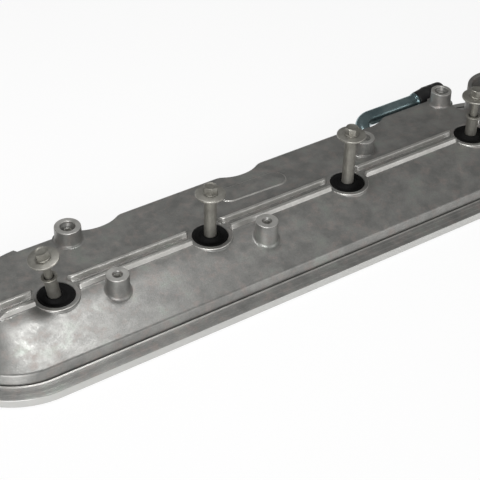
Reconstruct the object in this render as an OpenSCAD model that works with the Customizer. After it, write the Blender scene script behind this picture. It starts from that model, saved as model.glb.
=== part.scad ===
// Engine valve cover: an aluminium casting with four sealed bolts, a breather tube and an open filler neck.
// It stands on the underside of its rail. +X runs along the engine, +Y to the side of the breather tube.
// The origin is in the plane of the rail's underside, below the middle of the whole part.

/* [Casting] */
// Spacing of the four wells, which is the spacing of the engine's cylinders
well_pitch = 111.76; // [108:0.01:116]
// Distance from an end well to the end of the rail
end_margin = 83; // [80:1:90]
// Width over the rail
cover_w = 117; // [114:1:122]
// Height from the rail's underside to the rims of the wells
cover_h = 24.3; // [23:0.1:28]
// Corner radius of the rail's outline
corner_r = 56; // [50:1:57]
// Height of the rail's side
rail_h = 6.1; // [5.5:0.1:7]
// Width of the flange in front of the raised body and at its ends
flange_w = 11.6; // [11:0.1:13]
// Width of the flange behind the raised body
back_flange_w = 4.5; // [4:0.1:6]
// Wall of the casting
wall = 3.2; // [2.6:0.1:3.6]

/* [Raised body] */
// Height of the shoulder's upper edge over the rail's underside
shoulder_z = 12.6; // [11:0.1:14]
// Distance that the shoulder leans inward over its height
shoulder_lean = 2.4; // [1.5:0.1:3]
// Length of the slope from the front shoulder up to the crown
front_run = 35.5; // [32:0.5:37]
// Length of the slope from an end shoulder up to the crown
end_run = 24; // [20:0.5:28]
// Rounding of the roof's back edge
back_round = 4; // [3:0.5:5]
// Depth of a scallop in the back wall
scallop_depth = 6; // [4:0.5:8]
// Radius of a scallop
scallop_r = 24; // [20:1:28]
// Radius of the lips beside a scallop
scallop_lip_r = 8; // [6:1:10]
// Place along X where the raised body stops behind the filler neck
low_corner_x = 182; // [180:1:186]
// Place along Y where that low corner begins
low_corner_y = 27; // [26:1:30]

/* [Ribs and pad] */
// Height of the two long ribs
rib_h = 3.4; // [2.5:0.1:4]
// Width of a rib at its top
rib_w = 2.4; // [2:0.1:3]
// Lean of a rib's faces over its height
rib_lean = 0.7; // [0.4:0.1:1]
// Height of the oblong pad on the roof
pad_h = 0.6; // [0.4:0.1:1]
// Radius of the pad's round ends
pad_r = 7.5; // [6.5:0.5:8]

/* [Wells] */
// Radius of a well's bore
well_r = 11.9; // [11.5:0.1:12.4]
// Outer radius of the ring round a well
ring_r = 15; // [14.5:0.1:15.6]
// Height of the ring over the crown
ring_rise = 0.3; // [0.2:0.1:0.6]
// Depth of a well from its rim to the floor that holds the grommet
well_depth = 12.8; // [11:0.1:14]
// Thickness of that floor
well_floor_t = 2.5; // [2:0.1:3]
// Radius of the hole in that floor
floor_hole_r = 8.5; // [8:0.1:9]

/* [Screw bosses] */
// Height of the bosses' tops over the rail's underside
boss_top_z = 35.1; // [33:0.1:37]
// Radius of a thread's core, cut for M6
thread_r = 2.5; // [2.1:0.1:2.6]
// Depth of the deepest thread below the boss's top; each of the others ends at its own height
thread_depth = 10.2; // [9.6:0.1:10.4]
// Radius of the counterbore in the bosses behind the wells
counterbore_r = 5; // [4.5:0.1:5.5]
// Depth of that counterbore
counterbore_depth = 3; // [2:0.5:4]
// Radius of the countersink in the bosses in front of the wells
countersink_r = 3.2; // [3:0.1:3.6]
// Radius of the fillet at a boss's foot
boss_fillet = 2; // [1:0.5:2.5]

/* [Filler neck] */
// Outer radius of the neck
neck_r = 24; // [22.5:0.5:25]
// Radius of the neck's bore
neck_bore_r = 20.5; // [19:0.5:21]
// Height of the neck's rim over the rail's underside
neck_top_z = 39.3; // [36:0.1:42]
// Radius of the hole inside the ledge in the neck
ledge_r = 17.5; // [16:0.5:18.5]

/* [Sleeves, washers and bolts] */
// Length of a sleeve
sleeve_len = 40.8; // [38:0.1:42]
// Outer radius of a sleeve
sleeve_r = 4.15; // [4:0.05:4.4]
// Inner radius of a sleeve
sleeve_bore_r = 3.25; // [3.15:0.05:3.4]
// Radius of the flared lip at a sleeve's top
sleeve_lip_r = 5.3; // [5:0.1:5.6]
// Radius of a washer
washer_r = 9.9; // [9:0.1:10.5]
// Thickness of a washer
washer_t = 1.6; // [1.2:0.1:2]
// Length of a bolt below its head
bolt_len = 57; // [52:0.5:59]
// Radius of a bolt's shank
shank_r = 2.6; // [2.4:0.05:2.7]
// Radius over a bolt's thread, M6
bolt_thread_r = 3; // [2.9:0.05:3.05]
// Length of a bolt's thread
bolt_thread_len = 13; // [10:0.5:15]
// Width across the flats of a bolt's head
hex_af = 8; // [7:0.5:9]
// Height of a bolt's head over its collar
hex_h = 4.8; // [4:0.1:6]
// Lean of the first bolt and its sleeve to the left, in degrees
first_lean = 9; // [4:0.5:9]
// Height over its lowest place at which the second sleeve is held by its grommet
second_raise = 16.2; // [10:0.1:18]
// Height over its lowest place at which the third sleeve is held by its grommet
third_raise = 21.6; // [16:0.1:22]

/* [Breather tube] */
// Radius of the tube
tube_r = 5.7; // [5:0.1:6]
// Wall of the tube
tube_wall = 1; // [0.8:0.1:1.5]
// Distance of the tube's centre line behind the well line
tube_y = 62.5; // [62:0.5:66]
// Height of the tube's centre line over the rail's underside
tube_z = 18; // [15:0.5:19]
// Radius of the tube's bend on its centre line
tube_bend_r = 12; // [10:0.5:12.5]
// Slope of the leg that runs down into the wall, in degrees
leg_slope = 20; // [15:1:24]
// Place along X of the tube's bright bead
bead_x = 167.5; // [165:0.5:170]
// Outer radius of the connector's mouth
connector_r = 8.4; // [7.9:0.1:9]
// Length of the connector
connector_len = 24; // [20:1:26]

/* [Gasket and baffle] */
// Distance from the rail's outer edge to the gasket's groove
groove_inset = 1.6; // [1.4:0.1:2]
// Width of the groove
groove_w = 3.4; // [3:0.1:4]
// Depth of the groove
groove_depth = 3.6; // [3:0.1:4]
// Thickness of the baffle's sheet metal
baffle_t = 1.2; // [1:0.1:1.6]
// Length of the baffle
baffle_len = 300; // [280:1:310]
// Height of the baffle's underside over the rail's underside
baffle_z = 4; // [3.5:0.1:5]
// Radius of a rivet's shank
rivet_r = 1.6; // [1.3:0.1:1.8]

/* [Hidden] */

// Clearances between pieces that fit into each other
seat_gap = 0.05;
// Overlap of solids that are cast in one, and the reach of cuts past a surface
merge = 1;
thin = 0.01;
// Reach of a cut that runs out past the whole part
far = 100;
// How far a scallop's lips cross its arc and the back wall, so that they meet at clear edges
lip_cross = 0.1;

// Half sizes of the rail, and the whole part's middle behind the well line
half_w = cover_w / 2;
half_len = 1.5 * well_pitch + end_margin;
middle_y = (tube_y + connector_r - half_w) / 2;

// Raised body: its outline at the rail, and the crown in the same height as the wells' rims
body_front = -half_w + flange_w;
body_back = half_w - back_flange_w;
body_end = half_len - flange_w;
body_r = corner_r - flange_w;
crown_z = cover_h - ring_rise;
crown_r = 14;
crown_back_r = body_r - 6;
slope = (crown_z - shoulder_z) / front_run;
slope_angle = atan(slope);
crown_front = body_front + shoulder_lean + front_run;
shoulder_drop = wall / cos(slope_angle) - slope * wall;
back_lean = 0.6;

// Ribs: the front foot of each, and their middle between them
rib_front = [-2.9, 6];
rib_foot_w = rib_w + 2 * rib_lean;
rib_end = body_end - shoulder_lean - end_run - 4;

// Pad on the roof, left and right centres
pad_left = [-21.6, 30.5];
pad_right = [15.4, 29.3];

// Screw bosses: place, radius at the top, radius at the foot, whether it has a counterbore,
// and how much shallower its thread is than the deepest
BOSSES = [
    [-136.2, 44.8, 8.8, 9.3, true, 0],
    [-132, -14, 7.4, 8.6, false, 1.8],
    [-23.8, -18.2, 7.5, 8.6, false, 2.4],
    [88.2, 25.5, 8.2, 8.8, true, 0.6],
    [176, 44.2, 7.6, 7.9, true, 1.2]
];

// Filler neck
neck_pos = [211.4, 19.5];
ledge_drop = 6;
ledge_z = cover_h - ledge_drop;
neck_floor_z = rail_h + wall;

// Wells and what stands in them
WELLS = [-1.5, -0.5, 0.5, 1.5];
floor_z = cover_h - well_depth;
grommet_crown = 1.5;
tilt_z = cover_h - well_depth / 2;
LEAN = [first_lean, 0, 0, 0];
bolt_bevel = 0.8;
tip_r = bolt_thread_r - bolt_bevel;
SLEEVE_Z = [stand_z(sleeve_r, LEAN[0]), second_raise, third_raise, stand_z(sleeve_r, LEAN[3])];
BOLT_TIP_Z = [stand_z(tip_r, LEAN[0]), second_raise + sleeve_len + washer_t - bolt_len,
              third_raise + sleeve_len + washer_t - bolt_len, stand_z(tip_r, LEAN[3])];
collar_h = 1;
collar_r = 4.9;
lip_h = 0.9;

// Breather tube
leg_x = well_pitch;
leg_inner_y = 42;
leg_len = (tube_y - leg_inner_y) / cos(leg_slope) - tube_bend_r;
bead_r = tube_r + 0.9;
bead_w = 2.4;
seat_len = 10;
tube_end_x = bead_x + bead_w / 2 + seat_len;
mouth_r = 6.4;

// Baffle, carried by pillars that are cast to the roof
baffle_front = ring_r + 3.5;
baffle_back = body_back - scallop_depth - wall - 1.4;
baffle_edge_h = 3;
pillar_r = 4;
PILLAR_X = [-140, -47, 47, 140];
pillar_y = (baffle_front + baffle_back) / 2;
rivet_head_r = 3.4;
rivet_head_h = 1;
rivet_len = 8;

$fn = 64;

// Shift along its leaning axis that sets the edge of a round end on the plane of the rail's underside
function stand_z(r, lean) = (r * sin(lean) - tilt_z * (1 - cos(lean))) / cos(lean);

// Moves a piece from the well line's frame to the frame of the whole part
module in_frame() {
    translate([0, -middle_y, 0])
        children();
}

// Rectangle with rounded corners, which lies in by a given distance from the rail's outer edge
module rail_outline(inset) {
    r = corner_r - inset;
    x = half_len - inset;
    y = half_w - inset;
    square([2 * (x - r), 2 * y], center = true);
    square([2 * x, 2 * (y - r)], center = true);
    for (sx = [-1, 1], sy = [-1, 1])
        translate([sx * (x - r), sy * (y - r)])
            circle(r, $fn = 128);
}

// One level of the raised body, made of four corner discs
module level(z, x, front, back, r_front, r_back) {
    for (s = [-1, 1]) {
        translate([s * (x - r_front), front + r_front, z - thin])
            cylinder(h = thin, r = r_front);
        translate([s * (x - r_back), back - r_back, z - thin])
            cylinder(h = thin, r = r_back);
    }
}

// Outer form of the raised body: shoulder, front and end slopes, flat crown and round back edge
module body_outside() {
    mid = crown_z - back_round;
    up = (mid - shoulder_z) / (crown_z - shoulder_z);
    foot_r = body_r - shoulder_lean;
    hull() {
        level(rail_h - merge, body_end, body_front, body_back, body_r, body_r);
        level(rail_h, body_end, body_front, body_back, body_r, body_r);
        level(shoulder_z, body_end - shoulder_lean, body_front + shoulder_lean, body_back - back_lean / 2,
              foot_r, foot_r);
        level(mid, body_end - shoulder_lean - up * end_run, body_front + shoulder_lean + up * front_run,
              body_back - back_lean, foot_r + up * (crown_r - foot_r), foot_r + up * (crown_back_r - foot_r));
        level(crown_z - 0.3 * back_round, body_end - shoulder_lean - 0.9 * end_run,
              body_front + shoulder_lean + 0.9 * front_run, body_back - back_lean - 0.3 * back_round,
              crown_r, crown_back_r);
        level(crown_z, body_end - shoulder_lean - end_run, crown_front, body_back - back_lean - back_round,
              crown_r, crown_back_r);
    }
}

// The hollow below the raised body, a wall's thickness inside it
module body_inside() {
    inner_r = body_r - wall;
    low = shoulder_z - shoulder_drop;
    top = crown_z - wall;
    hull() {
        level(-merge, body_end - wall, body_front + wall, body_back - wall, inner_r, inner_r);
        level(low, body_end - shoulder_lean - wall, body_front + shoulder_lean + wall,
              body_back - wall - back_lean / 2, inner_r - shoulder_lean, inner_r - shoulder_lean);
        level(top - back_round, body_end - shoulder_lean - wall - 0.6 * end_run,
              crown_front - back_round / slope, body_back - wall - back_lean, crown_r + 4, crown_back_r);
        level(top, body_end - shoulder_lean - end_run, crown_front, body_back - wall - back_lean - back_round,
              crown_r, crown_back_r);
    }
}

// Plan of one scallop: a round bite in the back wall with a soft lip on each side
module scallop_plan() {
    rise = scallop_r - scallop_depth;
    lip_y = lip_cross - scallop_lip_r;
    reach = scallop_r + scallop_lip_r - lip_cross;
    half = sqrt(pow(reach, 2) - pow(rise - lip_y, 2));
    low = rise - scallop_r * (rise - lip_y) / reach;
    translate([0, body_back]) {
        translate([0, rise])
            circle(scallop_r, $fn = 128);
        difference() {
            translate([-half, low])
                square([2 * half, far - low]);
            for (s = [-1, 1])
                translate([s * half, lip_y])
                    circle(scallop_lip_r);
        }
    }
}

// Rail with two fine steps on the flange and the seam groove at the foot of the shoulder
module rail() {
    seam_w = 0.9;
    difference() {
        union() {
            linear_extrude(rail_h)
                rail_outline(0);
            linear_extrude(rail_h + 0.45)
                rail_outline(3.4);
            linear_extrude(rail_h + 0.9)
                rail_outline(7);
        }
        translate([0, 0, rail_h - 0.6])
            linear_extrude(10)
                rail_outline(flange_w - seam_w);
    }
    linear_extrude(rail_h - 0.6)
        rail_outline(flange_w - seam_w);
}

// The space behind the filler neck where the body is only as high as the flange
module low_corner(in) {
    translate([low_corner_x - in, low_corner_y - in, rail_h - merge / 2])
        cube([far, far, far]);
}

// Shell of the casting: rail and raised body, hollow from below
module shell() {
    difference() {
        union() {
            rail();
            difference() {
                body_outside();
                for (i = [-1, 0, 1])
                    translate([i * well_pitch, 0, rail_h - merge / 2])
                        linear_extrude(cover_h)
                            scallop_plan();
                low_corner(0);
            }
        }
        hollow();
    }
}

// The whole hollow, with walls left behind the scallops and round the low corner
module hollow() {
    difference() {
        body_inside();
        for (i = [-1, 0, 1])
            translate([i * well_pitch, body_back + scallop_r - scallop_depth, -2 * merge])
                cylinder(h = cover_h + 2 * merge, r = scallop_r + wall, $fn = 128);
        translate([0, 0, -2 * rail_h])
            low_corner(wall);
    }
}

// One rib, with leaning faces and ends that run out into the end slopes
module rib(front) {
    top = crown_z + rib_h;
    intersection() {
        translate([-half_len, front, crown_z])
            rotate([90, 0, 90])
                linear_extrude(2 * half_len)
                    polygon([[0, -merge], [0, 0], [rib_lean, rib_h], [rib_lean + rib_w, rib_h],
                             [rib_foot_w, 0], [rib_foot_w, -merge]]);
        translate([0, front - merge, 0])
            rotate([90, 0, 180])
                linear_extrude(rib_foot_w + 2 * merge)
                    polygon([[-rib_end, crown_z - merge], [rib_end, crown_z - merge], [rib_end, crown_z],
                             [rib_end - 2 * rib_h, top], [2 * rib_h - rib_end, top], [-rib_end, crown_z]]);
    }
}

// Oblong pad with round ends
module pad() {
    run = pad_right - pad_left;
    translate([pad_left[0], pad_left[1], crown_z - merge])
        rotate([0, 0, atan2(run[1], run[0])]) {
            cylinder(h = pad_h + merge, r = pad_r);
            translate([0, -pad_r, 0])
                cube([norm(run), 2 * pad_r, pad_h + merge]);
            translate([norm(run), 0, 0])
                cylinder(h = pad_h + merge, r = pad_r);
        }
}

// Round foot that widens into the roof with a fillet
module foot(r, fillet) {
    sink = 0.05;
    arc = [for (a = [0:22.5:90]) [r + fillet * (1 - cos(a)), fillet * (1 - sin(a)) - sink]];
    rotate_extrude()
        polygon(concat([[0, fillet - sink]], arc, [[r + fillet, -merge], [0, -merge]]));
}

// Height of the roof at a place along Y, on the front slope or on the crown
function roof_z(y) = y < crown_front ? crown_z - slope * (crown_front - y) : crown_z;

// Screw boss: drafted post with a small edge at its top and a fillet at its foot
module boss(place) {
    y = place[1];
    ground = roof_z(y);
    root = ground - 1.7 * wall;
    edge = 0.5;
    translate([place[0], y, 0]) {
        rotate_extrude()
            polygon([[0, root], [place[3], root], [place[3], ground],
                     [place[2], boss_top_z - edge], [place[2] - edge, boss_top_z], [0, boss_top_z]]);
        translate([0, 0, ground])
            rotate([y < crown_front ? slope_angle : 0, 0, 0])
                foot(place[3] - 0.5, boss_fillet);
    }
}

// Hole of a screw boss
module boss_hole(place) {
    depth = thread_depth - place[5];
    translate([place[0], place[1], boss_top_z - depth])
        cylinder(h = depth + merge, r = thread_r);
    if (place[4])
        translate([place[0], place[1], boss_top_z - counterbore_depth])
            cylinder(h = counterbore_depth + merge, r = counterbore_r);
    else
        translate([place[0], place[1], boss_top_z - (countersink_r - thread_r)])
            cylinder(h = 2 * (countersink_r - thread_r), r1 = thread_r, r2 = 2 * countersink_r - thread_r);
}

// Post of a well, which hangs from the roof and ends in a floor with a hole
module well_post() {
    translate([0, 0, floor_z - well_floor_t])
        cylinder(h = cover_h - floor_z + well_floor_t, r = ring_r, $fn = 96);
    translate([0, 0, roof_z(-ring_r)])
        rotate([slope_angle, 0, 0])
            foot(ring_r - 0.3, 1.2);
}

// Bore of a well
module well_bore() {
    translate([0, 0, floor_z])
        cylinder(h = well_depth + merge, r = well_r, $fn = 96);
    translate([0, 0, floor_z - well_floor_t - merge])
        cylinder(h = well_floor_t + 2 * merge, r = floor_hole_r);
}

// Outside of the filler neck
module neck() {
    edge = 0.8;
    translate([neck_pos[0], neck_pos[1], 0])
        rotate_extrude($fn = 96)
            polygon([[0, rail_h - merge], [neck_r, rail_h - merge], [neck_r, neck_top_z - edge],
                     [neck_r - edge, neck_top_z], [0, neck_top_z]]);
}

// Inside of the filler neck, with its ledge
module neck_bore() {
    translate([neck_pos[0], neck_pos[1], 0]) {
        translate([0, 0, ledge_z])
            cylinder(h = neck_top_z - ledge_z + merge, r = neck_bore_r, $fn = 96);
        translate([0, 0, neck_floor_z])
            cylinder(h = neck_top_z - neck_floor_z, r = ledge_r, $fn = 96);
        intersection() {
            cylinder(h = neck_top_z, r = ledge_r, $fn = 96);
            translate([-2 * neck_r, -2 * neck_r, 0])
                cube([4 * neck_r, 2 * neck_r + low_corner_y - wall - neck_pos[1], neck_top_z]);
        }
    }
}

// Puts a piece in the plane of the tube's bend, which slopes down to the wall
module tube_plane() {
    translate([leg_x, tube_y, tube_z])
        rotate([leg_slope, 0, 0])
            children();
}

// Leg of the tube as a solid rod, from the bend down into the wall
module tube_leg(r, len) {
    tube_plane()
        translate([0, -tube_bend_r, 0])
            rotate([90, 0, 0])
                cylinder(h = len, r = r);
}

// Path of the breather tube as one solid rod: straight run, bend and leg
module tube_path(r, run_end, leg_end) {
    tube_leg(r, leg_end);
    tube_plane() {
        translate([tube_bend_r, 0, 0])
            rotate([0, 90, 0])
                cylinder(h = run_end - leg_x - tube_bend_r, r = r);
        translate([tube_bend_r, -tube_bend_r, 0])
            rotate([0, 0, 90])
                rotate_extrude(angle = 90)
                    translate([tube_bend_r, 0])
                        circle(r);
    }
}

module cover_casting() {
    color([0.62, 0.62, 0.60])
        in_frame()
            difference() {
                union() {
                    shell();
                    for (i = WELLS)
                        translate([i * well_pitch, 0, 0])
                            well_post();
                    difference() {
                        for (front = rib_front)
                            rib(front);
                        for (i = WELLS)
                            translate([i * well_pitch, 0, crown_z - 2 * merge])
                                cylinder(h = 2 * rib_h + 2 * merge, r = ring_r + 0.2);
                    }
                    pad();
                    for (place = BOSSES)
                        boss(place);
                    neck();
                    for (x = PILLAR_X)
                        translate([x, pillar_y, baffle_z + baffle_t])
                            cylinder(h = cover_h - wall / 2 - baffle_z - baffle_t, r = pillar_r);
                }
                for (i = WELLS)
                    translate([i * well_pitch, 0, 0])
                        well_bore();
                for (place = BOSSES)
                    boss_hole(place);
                neck_bore();
                for (x = PILLAR_X)
                    translate([x, pillar_y, baffle_z])
                        cylinder(h = rivet_len + merge, r = rivet_r + seat_gap);
                translate([0, 0, -merge])
                    linear_extrude(groove_depth + merge)
                        difference() {
                            rail_outline(groove_inset);
                            rail_outline(groove_inset + groove_w);
                        }
                tube_leg(tube_r + seat_gap, leg_len + 4);
            }
}

// Rubber gasket, flush with the rail's underside
module rail_gasket() {
    color([0.06, 0.06, 0.06])
        in_frame()
            linear_extrude(groove_depth)
                difference() {
                    rail_outline(groove_inset + seat_gap);
                    rail_outline(groove_inset + groove_w - seat_gap);
                }
}

// Sheet metal baffle with edges turned up
module baffle_plate() {
    depth = baffle_back - baffle_front;
    color([0.55, 0.56, 0.55])
        in_frame()
            difference() {
                translate([-baffle_len / 2, baffle_front, baffle_z])
                    cube([baffle_len, depth, baffle_edge_h]);
                translate([baffle_t - baffle_len / 2, baffle_front + baffle_t, baffle_z + baffle_t])
                    cube([baffle_len - 2 * baffle_t, depth - 2 * baffle_t, baffle_edge_h]);
                for (x = PILLAR_X)
                    translate([x, pillar_y, baffle_z - merge])
                        cylinder(h = baffle_t + 2 * merge, r = rivet_r + seat_gap);
            }
}

// Rivets with low round heads below the baffle
module baffle_rivets() {
    color([0.7, 0.7, 0.68])
        in_frame()
            for (x = PILLAR_X)
                translate([x, pillar_y, baffle_z - rivet_head_h]) {
                    cylinder(h = rivet_head_h, r = rivet_head_r);
                    cylinder(h = rivet_head_h + rivet_len, r = rivet_r);
                }
}

// Puts a piece on the axis of a well, leaning where its bolt leans
module on_well(i) {
    translate([WELLS[i] * well_pitch, 0, tilt_z])
        rotate([0, -LEAN[i], 0])
            translate([0, 0, -tilt_z])
                children();
}

// Rubber grommet that fills its well and grips the sleeve
module grommet(i) {
    color([0.05, 0.05, 0.05])
        in_frame()
            difference() {
                translate([WELLS[i] * well_pitch, 0, floor_z])
                    rotate_extrude($fn = 96)
                        polygon([[0, 0], [well_r - seat_gap, 0], [well_r - seat_gap, well_depth - 0.5],
                                 [well_r - 0.6, well_depth], [sleeve_r + 4, well_depth],
                                 [sleeve_r + 1.5, well_depth + grommet_crown], [0, well_depth + grommet_crown]]);
                on_well(i)
                    cylinder(h = 2 * cover_h, r = sleeve_r + seat_gap);
            }
}

// Steel sleeve with a flared lip at its top
module sleeve(i) {
    color([0.55, 0.54, 0.50])
        in_frame()
            on_well(i)
                translate([0, 0, SLEEVE_Z[i]])
                    difference() {
                        rotate_extrude()
                            polygon([[0, 0], [sleeve_r, 0], [sleeve_r, sleeve_len - 2 * lip_h],
                                     [sleeve_lip_r, sleeve_len - lip_h], [sleeve_lip_r, sleeve_len],
                                     [0, sleeve_len]]);
                        translate([0, 0, -merge])
                            cylinder(h = sleeve_len + 2 * merge, r = sleeve_bore_r);
                    }
}

// Flat washer below a bolt's head
module washer(i) {
    color([0.58, 0.57, 0.52])
        in_frame()
            on_well(i)
                translate([0, 0, BOLT_TIP_Z[i] + bolt_len - washer_t])
                    difference() {
                        cylinder(h = washer_t, r = washer_r);
                        translate([0, 0, -merge])
                            cylinder(h = washer_t + 2 * merge, r = sleeve_bore_r);
                    }
}

// Bolt with a thin shank, a thread at its tip and a hexagon head on a collar
module bolt(i) {
    bevel = 0.5;
    corner = hex_af / sqrt(3);
    color([0.52, 0.51, 0.47])
        in_frame()
            on_well(i)
                translate([0, 0, BOLT_TIP_Z[i]]) {
                    rotate_extrude()
                        polygon([[0, 0], [tip_r, 0], [bolt_thread_r, bolt_bevel],
                                 [bolt_thread_r, bolt_thread_len], [shank_r, bolt_thread_len + 0.6],
                                 [shank_r, bolt_len], [collar_r, bolt_len], [collar_r, bolt_len + collar_h],
                                 [0, bolt_len + collar_h]]);
                    translate([0, 0, bolt_len + collar_h / 2])
                        intersection() {
                            cylinder(h = hex_h + collar_h / 2, r = corner, $fn = 6);
                            cylinder(h = hex_h + collar_h / 2 + corner - bevel, r1 = hex_h + 2 * corner - bevel,
                                     r2 = corner / 2);
                        }
                }
}

// Plated steel tube, bent into the back wall, with a bead near its free end
module breather_tube() {
    color([0.45, 0.58, 0.60])
        in_frame()
            difference() {
                union() {
                    tube_path(tube_r, tube_end_x, leg_len);
                    tube_plane()
                        translate([bead_x - bead_w / 2 - leg_x, 0, 0])
                            rotate([0, 90, 0])
                                cylinder(h = bead_w, r = bead_r);
                }
                tube_path(tube_r - tube_wall, tube_end_x + merge, leg_len + merge);
            }
}

// Rubber connector pushed over the tube's free end
module tube_connector() {
    color([0.07, 0.07, 0.07])
        in_frame()
            translate([bead_x + bead_w / 2, tube_y, tube_z])
                rotate([0, 90, 0])
                    difference() {
                        rotate_extrude()
                            polygon([[0, 0], [tube_r + 1.3, 0], [connector_r - 0.4, 8], [connector_r, 9],
                                     [connector_r, connector_len], [0, connector_len]]);
                        translate([0, 0, -merge])
                            cylinder(h = seat_len + 2 * merge, r = tube_r + seat_gap);
                        translate([0, 0, seat_len])
                            cylinder(h = connector_len, r = mouth_r);
                    }
}

module grommet_1() { grommet(0); }
module grommet_2() { grommet(1); }
module grommet_3() { grommet(2); }
module grommet_4() { grommet(3); }
module sleeve_1() { sleeve(0); }
module sleeve_2() { sleeve(1); }
module sleeve_3() { sleeve(2); }
module sleeve_4() { sleeve(3); }
module washer_1() { washer(0); }
module washer_2() { washer(1); }
module washer_3() { washer(2); }
module washer_4() { washer(3); }
module bolt_1() { bolt(0); }
module bolt_2() { bolt(1); }
module bolt_3() { bolt(2); }
module bolt_4() { bolt(3); }

cover_casting();
rail_gasket();
baffle_plate();
baffle_rivets();
grommet_1();
grommet_2();
grommet_3();
grommet_4();
sleeve_1();
sleeve_2();
sleeve_3();
sleeve_4();
washer_1();
washer_2();
washer_3();
washer_4();
bolt_1();
bolt_2();
bolt_3();
bolt_4();
breather_tube();
tube_connector();
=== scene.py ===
"""Visual model of an engine valve cover: an aluminium casting with its sealed bolts and breather tube.

Sizes are in millimetres in the well line's frame, where Y is 0 on the line through the wells, until a form is
made an object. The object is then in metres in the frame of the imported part.
"""

import logging
import math
from dataclasses import dataclass
from enum import Enum
from typing import Any, Callable, ClassVar, Iterable, Sequence

import bmesh
import bpy
from mathutils import Matrix, Vector


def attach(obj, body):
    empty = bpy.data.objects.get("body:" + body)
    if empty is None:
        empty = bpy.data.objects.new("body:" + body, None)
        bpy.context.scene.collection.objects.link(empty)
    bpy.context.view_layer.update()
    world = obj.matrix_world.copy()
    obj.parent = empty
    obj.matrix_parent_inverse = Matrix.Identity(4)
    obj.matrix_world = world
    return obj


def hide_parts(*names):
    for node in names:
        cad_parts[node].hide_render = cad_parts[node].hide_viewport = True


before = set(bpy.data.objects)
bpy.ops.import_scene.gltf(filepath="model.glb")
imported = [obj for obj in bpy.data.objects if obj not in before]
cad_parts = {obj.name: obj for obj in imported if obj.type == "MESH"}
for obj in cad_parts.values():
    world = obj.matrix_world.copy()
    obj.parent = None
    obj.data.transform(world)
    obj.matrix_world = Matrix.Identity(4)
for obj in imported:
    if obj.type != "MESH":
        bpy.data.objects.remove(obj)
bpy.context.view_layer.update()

LOG = logging.getLogger("valve_cover")
# One millimetre in metres
MM = 0.001
# Place of the part's origin along Y, from the line through the wells
MIDDLE_Y = 6.2
# Height of a thread's tooth
TOOTH = 0.42

Point = tuple[float, float, float]
Colour = tuple[float, float, float]
Ring = list[Point]


class Cut(Enum):
    """Ways to combine two closed forms."""

    JOIN = "UNION"
    TAKE = "DIFFERENCE"


class Zone(Enum):
    """Zones of the casting with a finish of their own, by the number of their material."""

    CAST = 0
    # The seam's faces, painted near black as the shade in its narrow groove
    SEAM = 1
    # Lighter metal: the bosses' machined tops, and painted highlights on ring edges, ribs, pad, bead and
    # threads
    MACHINED_AND_HIGHLIGHT = 2


class Form:
    """Points and faces of one or more closed forms."""

    def __init__(self) -> None:
        """Starts with no points."""
        self.points: list[Point] = []
        self.faces: list[Sequence[int]] = []

    def loop(self, ring: Iterable[Point]) -> list[int]:
        """Adds the points of a ring.

        Args:
            ring: points in order round the ring.

        Returns:
            Their numbers.
        """
        start = len(self.points)
        self.points.extend(ring)
        return list(range(start, len(self.points)))

    def band(self, a: Sequence[int], b: Sequence[int]) -> None:
        """Joins two rings of as many points with quads.

        Args:
            a: numbers of the first ring's points.
            b: numbers of the second ring's points.
        """
        count = len(a)
        for i in range(count):
            j = (i + 1) % count
            self.faces.append((a[i], a[j], b[j], b[i]))

    def fan(self, ring: Sequence[int], tip: Point) -> None:
        """Closes a ring with triangles to one point.

        Args:
            ring: numbers of the ring's points.
            tip: the point.
        """
        top = self.loop([tip])[0]
        count = len(ring)
        for i in range(count):
            self.faces.append((ring[i], ring[(i + 1) % count], top))

    def loft(self, rings: Sequence[Ring], round_path: bool = False) -> "Form":
        """Adds a closed form through rings.

        Args:
            rings: rings of as many points each, in order.
            round_path: joins the last ring to the first instead of closing both with flat faces.

        Returns:
            This form.
        """
        loops = [self.loop(r) for r in rings]
        for a, b in zip(loops, loops[1:]):
            self.band(a, b)
        if round_path:
            self.band(loops[-1], loops[0])
        else:
            self.faces.append(tuple(loops[0]))
            self.faces.append(tuple(loops[-1]))
        return self

    def lathe(self, profile: Sequence[tuple[float, float]], place: Point = (0, 0, 0),
              steps: int = 64) -> "Form":
        """Adds a turned form about Z. Its profile starts and ends on the axis, or else it is a closed loop.

        Args:
            profile: radius and height of each point.
            place: where the axis and the height start.
            steps: number of sides.

        Returns:
            This form.
        """
        solid = profile[0][0] == 0 and profile[-1][0] == 0
        used = profile[1:-1] if solid else profile
        loops = [self.loop(circle(r, z, place, steps)) for r, z in used]
        for a, b in zip(loops, loops[1:]):
            self.band(a, b)
        if solid:
            for ring, end in ((loops[0], profile[0]), (loops[-1], profile[-1])):
                self.fan(ring, (place[0], place[1], place[2] + end[1]))
        else:
            self.band(loops[-1], loops[0])
        return self

    def moved(self, matrix: Matrix) -> "Form":
        """Moves every point by a matrix."""
        self.points = [tuple(matrix @ Vector(p)) for p in self.points]
        return self

    def add(self, other: "Form") -> "Form":
        """Adds another form beside this one.

        Args:
            other: the other form.

        Returns:
            This form.
        """
        start = len(self.points)
        self.points.extend(other.points)
        self.faces.extend(tuple(i + start for i in f) for f in other.faces)
        return self

    def object(self, name: str, smooth_angle: float = 35) -> bpy.types.Object:
        """Makes the form an object in the part's frame, with faces outward.

        Args:
            name: the piece's name.
            smooth_angle: edges sharper than this many degrees stay sharp.

        Returns:
            The object.
        """
        mesh = bpy.data.meshes.new(name)
        mesh.from_pydata([(x * MM, (y - MIDDLE_Y) * MM, z * MM) for x, y, z in self.points], [], self.faces)
        work = bmesh.new()
        work.from_mesh(mesh)
        bmesh.ops.recalc_face_normals(work, faces=work.faces)
        work.to_mesh(mesh)
        work.free()
        soften(mesh, smooth_angle)
        made = bpy.data.objects.new(name, mesh)
        bpy.context.scene.collection.objects.link(made)
        return made


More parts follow.
